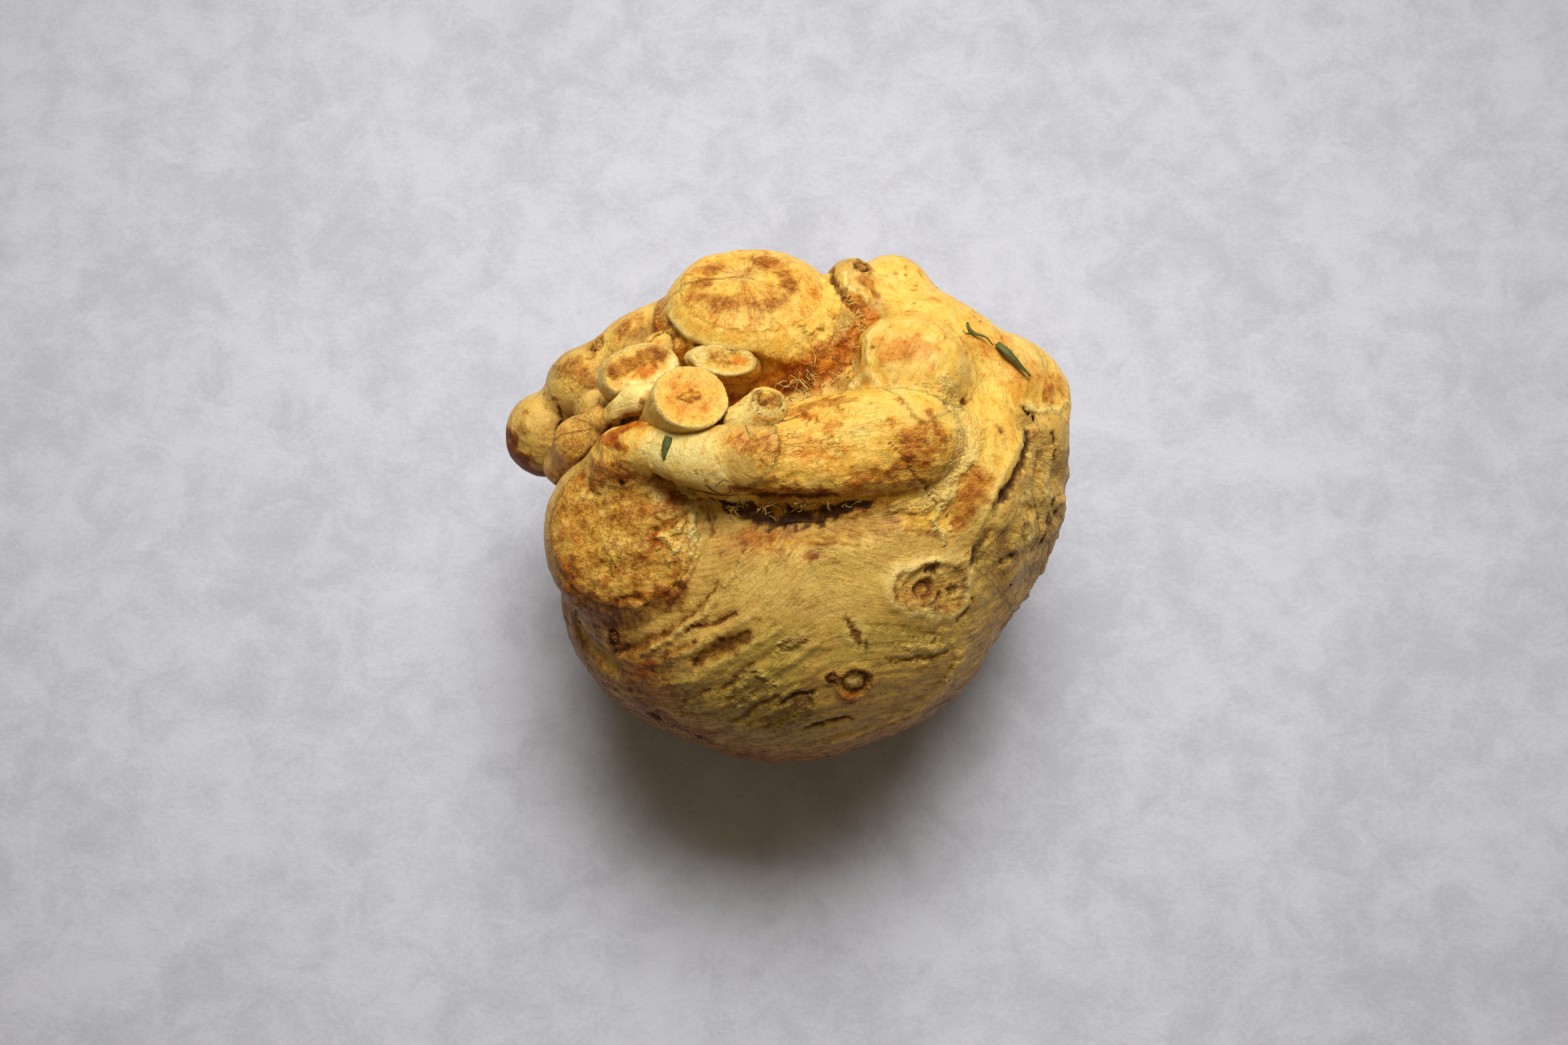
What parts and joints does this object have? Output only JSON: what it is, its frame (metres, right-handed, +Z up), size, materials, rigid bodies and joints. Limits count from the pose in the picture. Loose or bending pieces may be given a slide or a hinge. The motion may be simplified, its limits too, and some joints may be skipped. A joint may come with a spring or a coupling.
{
  "type": "celeriac root",
  "caption": "Whole celeriac root with trimmed shoots round its crown, cut leaf stalks and buds in the hollow, and scraps of leaf, resting on a small flat spot.",
  "frame": {"origin": "middle of the small flat spot that the root rests on", "axes": "+Z up through the crown, +X towards the broad right shoulder, +Y towards the large back shoot, so the smooth front faces -Y"},
  "size_m": [0.121, 0.1049, 0.0916],
  "materials": {
    "root_skin": "matt, olive to straw yellow skin with brown cut faces and stains",
    "stalk_flesh": "slightly moist cream yellow with an orange brown cut face",
    "green_leaf": "matt dark green"
  },
  "bodies": {
    "root": {"root": "root_skin", "stalk_round": "stalk_flesh", "stalk_left": "stalk_flesh", "stalk_back": "stalk_flesh", "bud_small": "stalk_flesh", "bud_pointed": "stalk_flesh", "leaf_base": "stalk_flesh", "leaf_thread": "green_leaf", "leaf_long": "green_leaf", "leaf_short": "green_leaf"}
  },
  "joints": []
}
